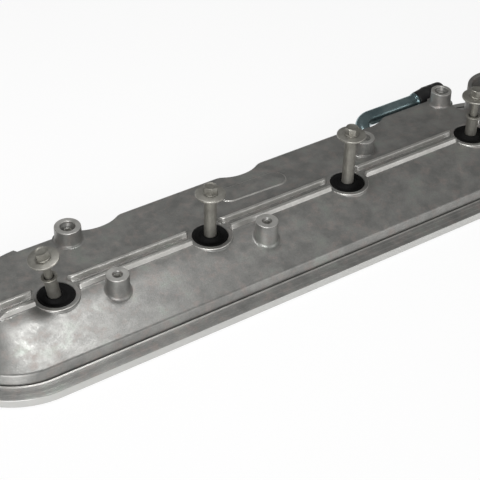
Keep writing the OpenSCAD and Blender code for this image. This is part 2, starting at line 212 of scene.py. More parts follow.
def circle(r: float, z: float, place: Point = (0, 0, 0), steps: int = 64) -> Ring:
    """Points of a level circle.

    Args:
        r: radius.
        z: height over the place.
        place: centre.
        steps: number of points.

    Returns:
        The points.
    """
    return [
        (place[0] + r * math.cos(a), place[1] + r * math.sin(a), place[2] + z)
        for a in (math.tau * i / steps for i in range(steps))
    ]


def soften(mesh: bpy.types.Mesh, angle: float) -> None:
    """Shades a mesh smooth but for edges over an angle in degrees."""
    mesh.shade_smooth()
    mesh.set_sharp_from_angle(angle=math.radians(angle))


def mix(a: float, b: float, t: float) -> float:
    """Value between a and b."""
    return a + (b - a) * t


def settled(obj: bpy.types.Object) -> bpy.types.Object:
    """Applies an object's modifiers.

    Args:
        obj: object with modifiers.

    Returns:
        The same object with the result as its mesh.
    """
    graph = bpy.context.evaluated_depsgraph_get()
    mesh = bpy.data.meshes.new_from_object(obj.evaluated_get(graph), depsgraph=graph)
    obj.modifiers.clear()
    old = obj.data
    obj.data = mesh
    bpy.data.meshes.remove(old)
    return obj


def carve(obj: bpy.types.Object, tools: Sequence[tuple[Cut, bpy.types.Object]]) -> None:
    """Joins other objects to an object or takes them from it, and removes them.

    Args:
        obj: object with a closed mesh, which is changed.
        tools: what to do with each other object, in order.
    """
    for cut, tool in tools:
        step = obj.modifiers.new("cut", "BOOLEAN")
        step.object, step.operation, step.solver = tool, cut.value, "MANIFOLD"
    settled(obj)
    for _, tool in tools:
        bpy.data.meshes.remove(tool.data)


def combine(obj: bpy.types.Object, tools: Sequence[tuple[Cut, Form]], angle: float) -> bpy.types.Object:
    """Joins closed forms to an object or takes them from it.

    Args:
        obj: object with a closed mesh.
        tools: what to do with each form, in order.
        angle: edges sharper than this many degrees stay sharp.

    Returns:
        The object with the result, shaded by the size of its faces.
    """
    carve(obj, [(cut, form.object("helper")) for cut, form in tools])
    weld(obj.data)
    soften(obj.data, angle)
    weigh = obj.modifiers.new("shade", "WEIGHTED_NORMAL")
    weigh.keep_sharp = True
    weigh.weight = 60
    return settled(obj)


def weld(mesh: bpy.types.Mesh) -> None:
    """Merges points that lie closer than a hundredth of a millimetre, and removes edges of no length.

    Args:
        mesh: the mesh, which is changed.
    """
    work = bmesh.new()
    work.from_mesh(mesh)
    bmesh.ops.remove_doubles(work, verts=work.verts, dist=1e-5)
    bmesh.ops.dissolve_degenerate(work, edges=work.edges, dist=2e-6)
    work.to_mesh(mesh)
    work.free()


def joined(main: bpy.types.Object, others: Sequence[bpy.types.Object]) -> bpy.types.Object:
    """Adds other objects' meshes to one object.

    Args:
        main: the object that stays.
        others: objects that are taken in and removed.

    Returns:
        The main object.
    """
    work = bmesh.new()
    work.from_mesh(main.data)
    for other in others:
        work.from_mesh(other.data)
    work.to_mesh(main.data)
    work.free()
    for other in others:
        bpy.data.meshes.remove(other.data)
    return main


class Shader:
    """Short way to place and link nodes in one tree."""

    def __init__(self, tree: bpy.types.NodeTree) -> None:
        """Keeps the tree."""
        self.tree = tree

    def node(self, kind: str, inputs: dict[Any, Any] | None = None, **settings: Any) -> bpy.types.Node:
        """Places a node.

        Args:
            kind: type of the node.
            inputs: values or output sockets, by input name or number.
            settings: the node's own settings.

        Returns:
            The node.
        """
        made = self.tree.nodes.new(kind)
        for key, value in settings.items():
            setattr(made, key, value)
        for key, value in (inputs or {}).items():
            if isinstance(value, bpy.types.NodeSocket):
                self.tree.links.new(value, made.inputs[key])
            else:
                made.inputs[key].default_value = value
        return made

    def math(self, operation: str, a: Any, b: Any = 0.0) -> bpy.types.NodeSocket:
        """Result of a sum with one or two values or sockets."""
        return self.node("ShaderNodeMath", {0: a, 1: b}, operation=operation).outputs[0]

    def blend(self, share: Any, a: Any, b: Any) -> bpy.types.NodeSocket:
        """Mix of two colours.

        Args:
            share: how much of the second colour is in it.
            a: the first colour.
            b: the second colour.

        Returns:
            The mixed colour.
        """
        return self.node("ShaderNodeMix", {0: share, 6: a, 7: b}, data_type="RGBA").outputs[2]


def grain_group() -> bpy.types.ShaderNodeTree:
    """Node group for uneven metal or rubber: cloudy and fine masks and the height of the grain.

    Returns:
        The group, made once.
    """
    name = "Surface grain"
    if name in bpy.data.node_groups:
        return bpy.data.node_groups[name]
    tree = bpy.data.node_groups.new(name, "ShaderNodeTree")
    for label, kind in (("Vector", "NodeSocketVector"), ("Cloud size", "NodeSocketFloat"),
                        ("Grain size", "NodeSocketFloat")):
        tree.interface.new_socket(label, in_out="INPUT", socket_type=kind)
    for label in ("Cloud", "Second cloud", "Grain", "Height"):
        tree.interface.new_socket(label, in_out="OUTPUT", socket_type="NodeSocketFloat")
    g = Shader(tree)
    start, end = g.node("NodeGroupInput"), g.node("NodeGroupOutput")
    cloud_scale = g.math("DIVIDE", 1.0, start.outputs["Cloud size"])
    grain_scale = g.math("DIVIDE", 1.0, start.outputs["Grain size"])
    second_scale = g.math("MULTIPLY", cloud_scale, 2.3)
    pit_scale = g.math("MULTIPLY", grain_scale, 0.35)
    place = start.outputs["Vector"]
    aside = g.node("ShaderNodeVectorMath", {0: place, 1: (3.1, 1.7, 4.3)}, operation="ADD").outputs[0]

    def noise(where: bpy.types.NodeSocket, scale: bpy.types.NodeSocket, detail: float,
              roughness: float) -> bpy.types.NodeSocket:
        """Value of a noise texture."""
        return g.node("ShaderNodeTexNoise", {"Vector": where, "Scale": scale, "Detail": detail,
                                             "Roughness": roughness}).outputs[0]

    cloud, second = noise(place, cloud_scale, 5.0, 0.6), noise(aside, second_scale, 6.0, 0.65)
    grain, pits = noise(place, grain_scale, 3.0, 0.7), noise(aside, pit_scale, 2.0, 0.5)
    height = g.math("ADD", g.math("MULTIPLY", grain, 0.6), g.math("MULTIPLY", pits, 0.4))
    for label, value in (("Cloud", cloud), ("Second cloud", second), ("Grain", grain), ("Height", height)):
        tree.links.new(value, end.inputs[label])
    return tree


@dataclass(frozen=True)
class Finish:
    """A surface finish with two tones, clouds, grain and gloss. Its lengths are in metres.

    Attributes:
        name: name of the material.
        dark: tone of the dark clouds.
        light: tone of the light clouds.
        metallic: how metallic it is.
        roughness: its lowest and highest roughness.
        cloud: size of the clouds.
        grain: size of the grain.
        bump: strength of the grain's relief.
        depth: depth of the grain's relief.
        specular: level of the gloss of what isn't metal.
        spread: softness of the clouds' edges.
        specks: strength of the dark specks.
        tints: colours of two kinds of stain.
        bands: lowest and highest height and colour of each level band painted lighter: painted light on lit
            faces, or machined metal with a painted highlight.
    """

    name: str
    dark: Colour
    light: Colour
    metallic: float
    roughness: tuple[float, float]
    cloud: float = 0.02
    grain: float = 0.0006
    bump: float = 0.15
    depth: float = 0.0002
    specular: float = 0.5
    spread: float = 0.15
    specks: float = 0.22
    tints: tuple[Colour, ...] = ()
    bands: tuple[tuple[float, float, Colour], ...] = ()

    def material(self) -> bpy.types.Material:
        """The material, made once.

        Returns:
            The material.
        """
        if self.name in bpy.data.materials:
            return bpy.data.materials[self.name]
        made = bpy.data.materials.new(self.name)
        made.use_nodes = True
        made.node_tree.nodes.clear()
        g = Shader(made.node_tree)
        place = g.node("ShaderNodeTexCoord").outputs["Object"]
        grain = g.node("ShaderNodeGroup", node_tree=grain_group())
        made.node_tree.links.new(place, grain.inputs["Vector"])
        grain.inputs["Cloud size"].default_value = self.cloud
        grain.inputs["Grain size"].default_value = self.grain
        tone = g.node("ShaderNodeMapRange", {"Value": grain.outputs["Cloud"], "From Min": 0.5 - self.spread,
                                             "From Max": 0.5 + self.spread})
        colour = g.blend(tone.outputs[0], (*self.dark, 1), (*self.light, 1))
        for tint, source, low in zip(self.tints, ("Second cloud", "Cloud"), (0.5, 0.55)):
            share = g.node("ShaderNodeMapRange", {"Value": grain.outputs[source], "From Min": low,
                                                  "From Max": low + 0.2, "To Max": 0.5})
            colour = g.blend(share.outputs[0], colour, (*tint, 1))
        speck = g.node("ShaderNodeMapRange", {"Value": grain.outputs["Grain"], "From Min": 0.3,
                                              "From Max": 0.7, "To Min": 0.0, "To Max": self.specks})
        colour = g.blend(speck.outputs[0], colour, (*(c * 0.72 for c in self.dark), 1))
        for low, high, bright in self.bands:
            axes = g.node("ShaderNodeSeparateXYZ", {0: place})
            above = g.math("GREATER_THAN", axes.outputs[2], low)
            below = g.math("LESS_THAN", axes.outputs[2], high)
            part = g.math("MULTIPLY", g.math("MULTIPLY", above, below), 0.8)
            colour = g.blend(part, colour, (*bright, 1))
        rough = g.node("ShaderNodeMapRange", {"Value": grain.outputs["Second cloud"], "From Min": 0.3,
                                              "From Max": 0.7, "To Min": self.roughness[0],
                                              "To Max": self.roughness[1]})
        bump = g.node("ShaderNodeBump", {"Height": grain.outputs["Height"], "Strength": self.bump,
                                         "Distance": self.depth})
        shade = g.node("ShaderNodeBsdfPrincipled", {"Base Color": colour, "Roughness": rough.outputs[0],
                                                    "Normal": bump.outputs[0], "Metallic": self.metallic,
                                                    "Specular IOR Level": self.specular})
        g.node("ShaderNodeOutputMaterial", {0: shade.outputs[0]})
        return made


class Finishes(Enum):
    """The finishes of the pieces."""

    CASTING = Finish(
        "cast_aluminium", (0.26, 0.26, 0.25), (0.385, 0.38, 0.365), metallic=0.62, roughness=(0.33, 0.5),
        cloud=0.015, grain=0.001, bump=0.4, depth=0.0003, spread=0.14, specks=0.34,
        tints=((0.44, 0.36, 0.33), (0.29, 0.37, 0.31)),
        # Bands: the rail's side painted pale as painted light on a lit face, and the bosses' top rims lighter
        # as machined metal with a painted highlight
        bands=((-0.001, 0.0058, (0.62, 0.62, 0.60)), (0.0350, 0.0353, (0.5, 0.5, 0.48))),
    )
    # Near-black painted shade for the narrow groove at the foot of the raised body
    SEAM = Finish("seam_painted_shade", (0.01, 0.01, 0.01), (0.03, 0.03, 0.028), metallic=0.0, roughness=(0.7, 0.8))
    # Lighter metal for the bosses' machined tops, and painted highlights on the wells' front ring edges, the
    # ribs, the pad's edge, the bead and the boss threads
    MACHINED_AND_HIGHLIGHT = Finish(
        "machined_and_highlight_aluminium", (0.62, 0.61, 0.58), (0.78, 0.77, 0.74), metallic=0.85, roughness=(0.34, 0.46),
        cloud=0.012, grain=0.0007, bump=0.2,
    )
    GASKET = Finish(
        "gasket_rubber", (0.012, 0.012, 0.013), (0.03, 0.03, 0.03), metallic=0.0, roughness=(0.55, 0.7),
    )
    SHEET = Finish(
        "baffle_sheet", (0.33, 0.34, 0.34), (0.42, 0.43, 0.42), metallic=0.9, roughness=(0.3, 0.42),
        cloud=0.03, grain=0.002, bump=0.05,
    )
    RIVET = Finish("rivet_aluminium", (0.5, 0.5, 0.5), (0.6, 0.6, 0.59), metallic=0.9, roughness=(0.3, 0.4))
    GROMMET = Finish(
        "grommet_rubber", (0.004, 0.004, 0.004), (0.01, 0.01, 0.01), metallic=0.0, roughness=(0.6, 0.75),
        cloud=0.01, grain=0.0005, specular=0.12,
    )
    SLEEVE = Finish(
        "sleeve_zinc", (0.30, 0.29, 0.26), (0.42, 0.41, 0.37), metallic=0.8, roughness=(0.4, 0.55),
        cloud=0.006, grain=0.0005, bump=0.2,
    )
    WASHER = Finish(
        "washer_zinc", (0.33, 0.32, 0.29), (0.45, 0.44, 0.40), metallic=0.8, roughness=(0.38, 0.52),
        cloud=0.006, grain=0.0005, bump=0.2,
    )
    BOLT = Finish(
        "bolt_zinc", (0.28, 0.27, 0.24), (0.42, 0.41, 0.37), metallic=0.8, roughness=(0.35, 0.5),
        cloud=0.005, grain=0.0004, bump=0.2,
    )
    TUBE = Finish(
        "tube_zinc", (0.21, 0.30, 0.325), (0.39, 0.495, 0.515), metallic=0.9, roughness=(0.16, 0.28),
        cloud=0.012, grain=0.0008, bump=0.08,
    )
    CONNECTOR = Finish(
        "connector_rubber", (0.01, 0.01, 0.011), (0.022, 0.022, 0.022), metallic=0.0, roughness=(0.4, 0.5),
    )


def dress(obj: bpy.types.Object, finish: Finishes, body: str, *nodes: str) -> bpy.types.Object:
    """Gives a piece its finish, its body and the nodes that it stands for.

    Args:
        obj: the piece.
        finish: its finish.
        body: the body that it rides on.
        nodes: the nodes that it replaces.

    Returns:
        The piece.
    """
    obj.data.materials.clear()
    obj.data.materials.append(finish.value.material())
    obj.data.polygons.foreach_set("material_index", [0] * len(obj.data.polygons))
    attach(obj, body)
    if nodes:
        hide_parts(*nodes)
    LOG.info("%s: %d faces on %s", obj.name, len(obj.data.polygons), body)
    return obj


@dataclass(frozen=True)
class Thread:
    """A screw thread, swept along a helix by Geometry Nodes."""

    radius: float
    length: float
    tooth: float
    pitch: float = 1.0

    @staticmethod
    def tree() -> bpy.types.GeometryNodeTree:
        """The node tree, made once.

        Returns:
            The tree.
        """
        name = "Screw thread"
        if name in bpy.data.node_groups:
            return bpy.data.node_groups[name]
        tree = bpy.data.node_groups.new(name, "GeometryNodeTree")
        for label in ("Radius", "Turns", "Length", "Tooth"):
            tree.interface.new_socket(label, in_out="INPUT", socket_type="NodeSocketFloat")
        tree.interface.new_socket("Finish", in_out="INPUT", socket_type="NodeSocketMaterial")
        tree.interface.new_socket("Geometry", in_out="OUTPUT", socket_type="NodeSocketGeometry")
        nodes, link = tree.nodes, tree.links.new
        start, end = nodes.new("NodeGroupInput"), nodes.new("NodeGroupOutput")
        helix = nodes.new("GeometryNodeCurveSpiral")
        helix.inputs["Resolution"].default_value = 32
        tooth = nodes.new("GeometryNodeCurvePrimitiveCircle")
        tooth.inputs["Resolution"].default_value = 4
        upright = nodes.new("GeometryNodeSetCurveNormal")
        upright.mode = "Z_UP"
        sweep = nodes.new("GeometryNodeCurveToMesh")
        sweep.inputs["Fill Caps"].default_value = True
        finish = nodes.new("GeometryNodeSetMaterial")
        real = nodes.new("GeometryNodeRealizeInstances")
        link(start.outputs["Radius"], helix.inputs["Start Radius"])
        link(start.outputs["Radius"], helix.inputs["End Radius"])
        link(start.outputs["Turns"], helix.inputs["Rotations"])
        link(start.outputs["Length"], helix.inputs["Height"])
        link(start.outputs["Tooth"], tooth.inputs["Radius"])
        link(helix.outputs["Curve"], upright.inputs["Curve"])
        link(upright.outputs["Curve"], sweep.inputs["Curve"])
        link(tooth.outputs["Curve"], sweep.inputs["Profile Curve"])
        link(sweep.outputs["Mesh"], real.inputs["Geometry"])
        link(real.outputs["Geometry"], finish.inputs["Geometry"])
        link(start.outputs["Finish"], finish.inputs["Material"])
        link(finish.outputs["Geometry"], end.inputs["Geometry"])
        return tree

    def build(self, place: Matrix, name: str, finish: Finishes) -> bpy.types.Object:
        """Makes the thread as a plain mesh.

        Args:
            place: where the thread starts, in millimetres in the well line's frame.
            name: name of the object.
            finish: its finish.

        Returns:
            The object, untransformed, with its place in its mesh.
        """
        tree = self.tree()
        made = bpy.data.objects.new(name, bpy.data.meshes.new(name))
        bpy.context.scene.collection.objects.link(made)
        step = made.modifiers.new("thread", "NODES")
        step.node_group = tree
        values = {"Radius": self.radius * MM, "Turns": self.length / self.pitch, "Length": self.length * MM,
                  "Tooth": self.tooth * MM, "Finish": finish.value.material()}
        for item in tree.interface.items_tree:
            if item.in_out == "INPUT":
                step[item.identifier] = values[item.name]
        settled(made)
        row = Matrix.Translation((0, -MIDDLE_Y, 0)) @ place
        row.translation *= MM
        made.data.transform(row)
        return made


@dataclass(frozen=True)
class Level:
    """One level loop of the casting: its four sides, its corner radii and its heights in front and behind."""

    LONG: ClassVar[int] = 60
    SHORT: ClassVar[int] = 4
    ARC: ClassVar[int] = 24
    FINE: ClassVar[int] = 160
    REACH: ClassVar[float] = 160.0

    z: float
    half_x: float
    front: float
    back: float
    r_front: float
    r_back: float
    z_back: float | None = None
    scallops: Callable[[float], float] | None = None

    def ring(self) -> Ring:
        """Points of the loop, in the same order for every level.

        Returns:
            The points, from the left end of the front round by the right end and the back. The back has fine
            steps as far out as its scallops reach.
        """
        behind = self.z if self.z_back is None else self.z_back
        xf, xb = self.half_x - self.r_front, self.half_x - self.r_back
        low, high = self.front + self.r_front, self.back - self.r_back
        out: Ring = [(mix(-xf, xf, i / self.LONG), self.front, self.z) for i in range(self.LONG + 1)]
        out += self._corner(xf, low, self.r_front, -90, self.z, self.z)
        out += [(self.half_x, mix(low, high, i / self.SHORT), self.z) for i in range(self.SHORT + 1)]
        out += self._corner(xb, high, self.r_back, 0, self.z, behind)
        xs = [mix(xb, self.REACH, i / self.SHORT) for i in range(self.SHORT)]
        xs += [self.REACH - 2 * self.REACH * i / self.FINE for i in range(self.FINE + 1)]
        xs += [-mix(self.REACH, xb, i / self.SHORT) for i in range(1, self.SHORT + 1)]
        for x in xs:
            bite = self.scallops(x) if self.scallops else 0
            out.append((x, self.back - bite, behind))
        out += self._corner(-xb, high, self.r_back, 90, behind, self.z)
        out += [(-self.half_x, mix(high, low, i / self.SHORT), self.z) for i in range(self.SHORT + 1)]
        out += self._corner(-xf, low, self.r_front, 180, self.z, self.z)
        return out

    def _corner(self, x: float, y: float, r: float, start: float, z0: float, z1: float) -> Ring:
        """Inner points of a quarter arc, with its height changing along it.

        Args:
            x: the arc's centre along X.
            y: the arc's centre along Y.
            r: its radius.
            start: direction of its first end, in degrees.
            z0: height at its first end.
            z1: height at its other end.

        Returns:
            The points between its ends.
        """
        out = []
        for i in range(1, self.ARC):
            a = math.radians(start + 90 * i / self.ARC)
            out.append((x + r * math.cos(a), y + r * math.sin(a), mix(z0, z1, i / self.ARC)))
        return out


@dataclass(frozen=True)
class Boss:
    """A screw boss: place, radii at the top and foot, whether it is counterbored, and its thread's depth."""

    x: float
    y: float
    top_r: float
    foot_r: float
    counterbored: bool
    depth: float


@dataclass
class Casting:
    """The aluminium casting: rail, raised body, wells, bosses, ribs, pad and filler neck."""

    # The whole
    pitch: float = 111.76
    half_len: float = 250.64
    half_w: float = 58.5
    crown_z: float = 24.0
    rim_z: float = 24.3
    corner_r: float = 56.0
    # Raised body
    flange_w: float = 11.6
    back_flange_w: float = 4.5
    foot_z: float = 5.5
    shoulder_z: float = 12.6
    lean: float = 2.4
    front_run: float = 35.5
    end_run: float = 24.0
    crown_blend: float = 8.0
    shoulder_blend: float = 1.2
    back_round: float = 4.0
    back_lean: float = 0.6
    crown_r_front: float = 14.0
    crown_r_back: float = 38.4
    wall: float = 3.2
    # Scallops in the back wall
    scallop_r: float = 24.0
    scallop_depth: float = 6.0
    lip_r: float = 8.0
    # Long ribs
    rib_front: tuple[float, float] = (-2.9, 6.0)
    rib_h: float = 3.4
    rib_w: float = 2.4
    rib_lean: float = 0.7
    # Wells
    ring_r: float = 15.0
    well_r: float = 11.9
    floor_z: float = 11.5
    floor_t: float = 2.5
    floor_hole_r: float = 8.5
    ring_fillet: float = 1.5
    # Screw bosses
    boss_top: float = 35.1
    boss_root: float = 1.7
    boss_fillet: float = 1.8
    edge: float = 0.5
    counterbore_r: float = 5.0
    counterbore_depth: float = 3.0
    countersink_r: float = 3.5
    countersink_depth: float = 1.0
    thread_r: float = 2.5
    # Low deck and filler neck
    low_corner: tuple[float, float] = (182.0, 27.0)
    deck_z: float = 5.6
    neck: tuple[float, float] = (211.4, 19.5)
    neck_r: float = 24.0
    neck_bore_r: float = 20.5
    ledge_r: float = 17.5
    ledge_z: float = 18.3
    neck_top: float = 39.3
    # Oblong pad
    pad_left: tuple[float, float] = (-21.6, 30.5)
    pad_right: tuple[float, float] = (15.4, 29.3)
    pad_r: float = 7.5
    # Pillars of the baffle
    pillar_x: tuple[float, ...] = (-140.0, -47.0, 47.0, 140.0)
    pillar_y: float = 30.95
    pillar_r: float = 4.0
    baffle_top: float = 5.2
    rivet_hole_r: float = 1.65
    rivet_hole_top: float = 13.0
    # Gasket groove
    groove_inset: float = 1.6
    groove_w: float = 3.4
    groove_depth: float = 3.6
    # Seam, painted near black as shade in its narrow groove, and bead, painted light as a highlight, by their
    # distance from the rail's outer edge, and their heights
    seam: tuple[float, float] = (10.5, 11.75)
    bead: tuple[float, float] = (9.3, 10.62)
    trim_z: tuple[float, float] = (5.3, 7.6)
    seam_top: float = 6.9
    # The wells' rings get a painted highlight on their edges in front of this place along Y
    ring_highlight_front: float = -4.0
    bosses: tuple[Boss, ...] = (
        Boss(-136.2, 44.8, 8.8, 9.0, True, 10.2),
        Boss(-132.0, -14.0, 7.4, 7.6, False, 8.4),
        Boss(-23.8, -18.2, 7.5, 7.7, False, 7.8),
        Boss(88.2, 25.5, 8.2, 8.4, True, 9.6),
        Boss(176.0, 44.2, 7.6, 7.8, True, 9.0),
    )

    @property
    def body_front(self) -> float:
        """Foot of the raised body's front."""
        return -self.half_w + self.flange_w

    @property
    def body_back(self) -> float:
        """Foot of the raised body's back wall."""
        return self.half_w - self.back_flange_w

    @property
    def body_end(self) -> float:
        """Foot of the raised body's ends."""
        return self.half_len - self.flange_w

    @property
    def slope(self) -> float:
        """Rise of the front slope for each millimetre."""
        return (self.crown_z - self.shoulder_z) / self.front_run

    def wells(self) -> list[float]:
        """Places of the wells along X."""
        return [self.pitch * (i - 1.5) for i in range(4)]

    def rise(self, u: float) -> float:
        """Height of the front slope, with a soft turn into the crown.

        Args:
            u: distance from the shoulder.

        Returns:
            The height.
        """
        start = self.front_run - self.crown_blend
        z = self.shoulder_z + self.slope * u
        if u > start:
            z -= self.slope * (u - start) ** 2 / (4 * self.crown_blend)
        return min(z, self.crown_z) if u < self.front_run + self.crown_blend else self.crown_z

    def ground(self, y: float) -> float:
        """Height of the roof at a place along Y."""
        return self.rise(y - self.body_front - self.lean)

    def bite(self, x: float) -> float:
        """Depth of the scallops in the back wall.

        Args:
            x: place along X.

        Returns:
            The depth, 0 between the scallops.
        """
        near = min(abs(x - self.pitch * i) for i in (-1, 0, 1))
        rise = self.scallop_r - self.scallop_depth
        reach = self.scallop_r + self.lip_r
        half = math.sqrt(reach**2 - (rise + self.lip_r) ** 2)
        if near >= half:
            return 0.0
        if near > self.scallop_r * half / reach:
            return self.lip_r - math.sqrt(self.lip_r**2 - (half - near) ** 2)
        return math.sqrt(self.scallop_r**2 - near**2) - rise

    def inner_bite(self, x: float) -> float:
        """Depth by which the wall behind a scallop stands into the hollow.

        Args:
            x: place along X.

        Returns:
            The depth, 0 between the scallops.
        """
        near = min(abs(x - self.pitch * i) for i in (-1, 0, 1))
        r = self.scallop_r + self.wall
        base = self.scallop_r - self.scallop_depth + self.wall
        return max(0.0, math.sqrt(max(0.0, r * r - near * near)) - base)

    def rail_levels(self) -> list[Level]:
        """Levels of the rail: side, two soft bands on the flange, the bright bead and the seam beside it.

        Returns:
            The levels, from the underside to the foot of the seam.
        """
        # Height in front, inset in front, inset behind and height behind
        steps = [
            (0.0, 0.5, 0.5, 0.0), (0.15, 0.15, 0.15, 0.15), (0.5, 0.0, 0.0, 0.5), (5.3, 0.0, 0.0, 5.3),
            (5.85, 0.2, 0.2, 5.85), (6.1, 0.8, 0.8, 6.1), (6.1, 3.1, 2.6, 6.1), (6.2, 3.35, 2.75, 6.2),
            (6.45, 3.6, 2.9, 6.45), (6.55, 3.9, 3.1, 6.55), (6.55, 6.7, 3.4, 6.55), (6.65, 6.95, 3.5, 6.55),
            (6.9, 7.2, 3.6, 6.55), (7.0, 7.5, 3.7, 6.55), (7.0, 9.3, 3.8, 6.55), (7.3, 9.5, 3.85, 6.52),
            (7.45, 9.9, 3.9, 6.5), (7.35, 10.35, 4.0, 6.4), (7.0, 10.6, 4.05, 6.2), (5.5, 10.7, 4.15, 5.6),
            (5.5, 11.5, 4.35, 5.6),
        ]
        out = []
        for z, inset, back_inset, z_back in steps:
            out.append(
                Level(z, self.half_len - inset, -self.half_w + inset, self.half_w - back_inset,
                      self.corner_r - inset, self.corner_r - back_inset, z_back)
            )
        return out

    def body_level(self, inset: float, u: float, z: float) -> Level:
        """One level of the raised body.

        Args:
            inset: how far the shoulder leans in at this level.
            u: distance from the shoulder up the front slope.
            z: height.

        Returns:
            The level, with its scallops.
        """
        share = u / self.front_run
        foot_r = self.corner_r - self.flange_w - inset
        mid = self.crown_z - self.back_round
        over = min(max(0.0, z - mid), self.back_round)
        turn = self.back_round - math.sqrt(self.back_round**2 - over**2)
        back_lean = self.back_lean * min(1.0, (z - self.foot_z) / (mid - self.foot_z))

        def scallops(x: float) -> float:
            """Depth of the back edge at this level."""
            deep = self.bite(x)
            return deep + turn * (1 - 0.55 * deep / self.scallop_depth)

        return Level(
            z, self.body_end - inset - share * self.end_run, self.body_front + inset + u,
            self.body_back - back_lean, mix(foot_r, self.crown_r_front, share),
            mix(foot_r, self.crown_r_back, min(1.0, share)), None, scallops,
        )

    def body_levels(self) -> list[Level]:
        """Levels of the raised body.

        Returns:
            The levels, from its foot round the shoulder and up the slope to the crown.
        """
        rail_z, top = self.deck_z, self.shoulder_z
        long = self.shoulder_blend
        side = Vector((self.lean, top - 6.1)).normalized()
        up = Vector((1.0, self.slope)).normalized()
        corner = Vector((self.lean, top))
        a, c = corner - side * long, corner + up * long
        out = [self.body_level(0.0, 0.0, rail_z)]
        for i in range(5):
            t = i / 4
            p = a * (1 - t) ** 2 + corner * (2 * t * (1 - t)) + c * t * t
            out.append(self.body_level(min(p.x, self.lean), max(0.0, p.x - self.lean), p.y))
        stops = [5, 11, 17, 23, 25.5] + [27.5 + 2 * i for i in range(9)]
        out += [self.body_level(self.lean, u, self.rise(u)) for u in stops]
        return out

    def hollow(self) -> Form:
        """The hollow below the raised body, a wall's thickness in from the outside at every level.

        Returns:
            The form, from below the rail to the underside of the crown.
        """
        drop = self.wall * (math.sqrt(1 + self.slope**2) - self.slope)
        low, top = self.shoulder_z - drop, self.crown_z - self.wall
        end, foot, back = self.body_end - self.wall, self.body_front + self.wall, self.body_back - self.wall
        crown_end = self.body_end - self.lean - self.end_run
        crown_front = self.body_front + self.lean + self.front_run
        r, near_r, far_r = self.corner_r - self.flange_w - self.wall, self.crown_r_front, self.crown_r_back
        rows = (
            (-1, end, foot, back, r, r),
            (low - 1.5, end - self.lean * 0.8, foot + self.lean * 0.8, back - 0.2, r - 2, r - 2),
            (low + 0.4, end - self.lean - 1.4, foot + self.lean + 1.8, back - 0.3, r - 3, r - 3),
            (top - 4, end - self.lean - 0.6 * self.end_run, crown_front - 4 / self.slope, back - 0.6,
             near_r + 4, far_r),
            (top - 1.5, end - self.lean - 0.86 * self.end_run, crown_front - 1.5 / self.slope + 0.8,
             back - 1.8, near_r + 1, far_r),
            (top - 0.3, crown_end - 1, crown_front + 1.2, back - 3.4, near_r, far_r),
            (top, crown_end - 4, crown_front + 4, back - 5, near_r, far_r),
        )
        return Form().loft([Level(*row, None, self.inner_bite).ring() for row in rows])

    def corner_block(self, inset: float, low: float) -> Form:
        """The space behind the filler neck, with a round inner corner.

        Args:
            inset: how far it reaches past the low corner.
            low: height that it starts at.

        Returns:
            The form.
        """
        x0, y0 = self.low_corner[0] - inset, self.low_corner[1] - inset
        r = 6.0
        turns = [math.pi / 2 * i / 10 for i in range(11)]
        plan = [(x0 + r - r * math.sin(a), y0 + r - r * math.cos(a)) for a in turns]
        plan += [(x0, 90.0), (300.0, 90.0), (300.0, y0)]
        return Form().loft([[(x, y, z) for x, y in plan] for z in (low, 90.0)])

    def upright(self, x: float, y: float, r: float, foot_z: float, crown: float, top_r: float, fillet: float,
                edge: float, steps: int) -> Form:
        """A round post on the roof with a fillet that follows the roof at its foot.

        Args:
            x: place along X.
            y: place along Y.
            r: radius at the foot.
            foot_z: height of its lower end, below the roof.
            crown: height of its top.
            top_r: radius at the top.
            fillet: radius of the fillet.
            edge: rounding of its upper edge.
            steps: number of sides.

        Returns:
            The form.
        """
        arc = 6

        def ring(measure: Callable[[float, float], tuple[float, float]]) -> Ring:
            """Points whose radius and height depend on the roof.

            Args:
                measure: radius and height from the roof's height and the room over it.

            Returns:
                The points.
            """
            out = []
            for i in range(steps):
                a = math.tau * i / steps
                ground = self.ground(y + r * math.sin(a))
                room = crown - ground
                rad, z = measure(ground, room)
                out.append((x + rad * math.cos(a), y + rad * math.sin(a), z))
            return out

        def foot(k: int) -> Ring:
            """One ring of the fillet.

            Args:
                k: its number, 0 at the fillet's outer edge.

            Returns:
                The points.
            """
            out = []
            for i in range(steps):
                a = math.tau * i / steps
                room = crown - self.ground(y + r * math.sin(a))
                f = min(fillet, 0.45 * room)
                t = math.pi / 2 * k / arc
                rad = r + f * (1 - math.sin(t))
                base = self.ground(y + rad * math.sin(a))
                z = base + f * (1 - math.cos(t)) - 0.02
                out.append((x + rad * math.cos(a), y + rad * math.sin(a), z))
            return out

        rings = [circle(r, foot_z, (x, y, 0), steps), ring(lambda g, h: (r, g - 1.2))]
        rings.append([(px, py, pz - 1.0) for px, py, pz in foot(0)])
        rings += [foot(k) for k in range(arc + 1)]
        for t in (0.0, 0.35, 0.7, 1.0):
            a = math.pi / 2 * t
            rings.append(
                ring(lambda g, h, a=a: (
                    top_r - min(edge, 0.45 * h) * (1 - math.cos(a)),
                    crown - min(edge, 0.45 * h) * (1 - math.sin(a)),
                ))
            )
        return Form().loft(rings)

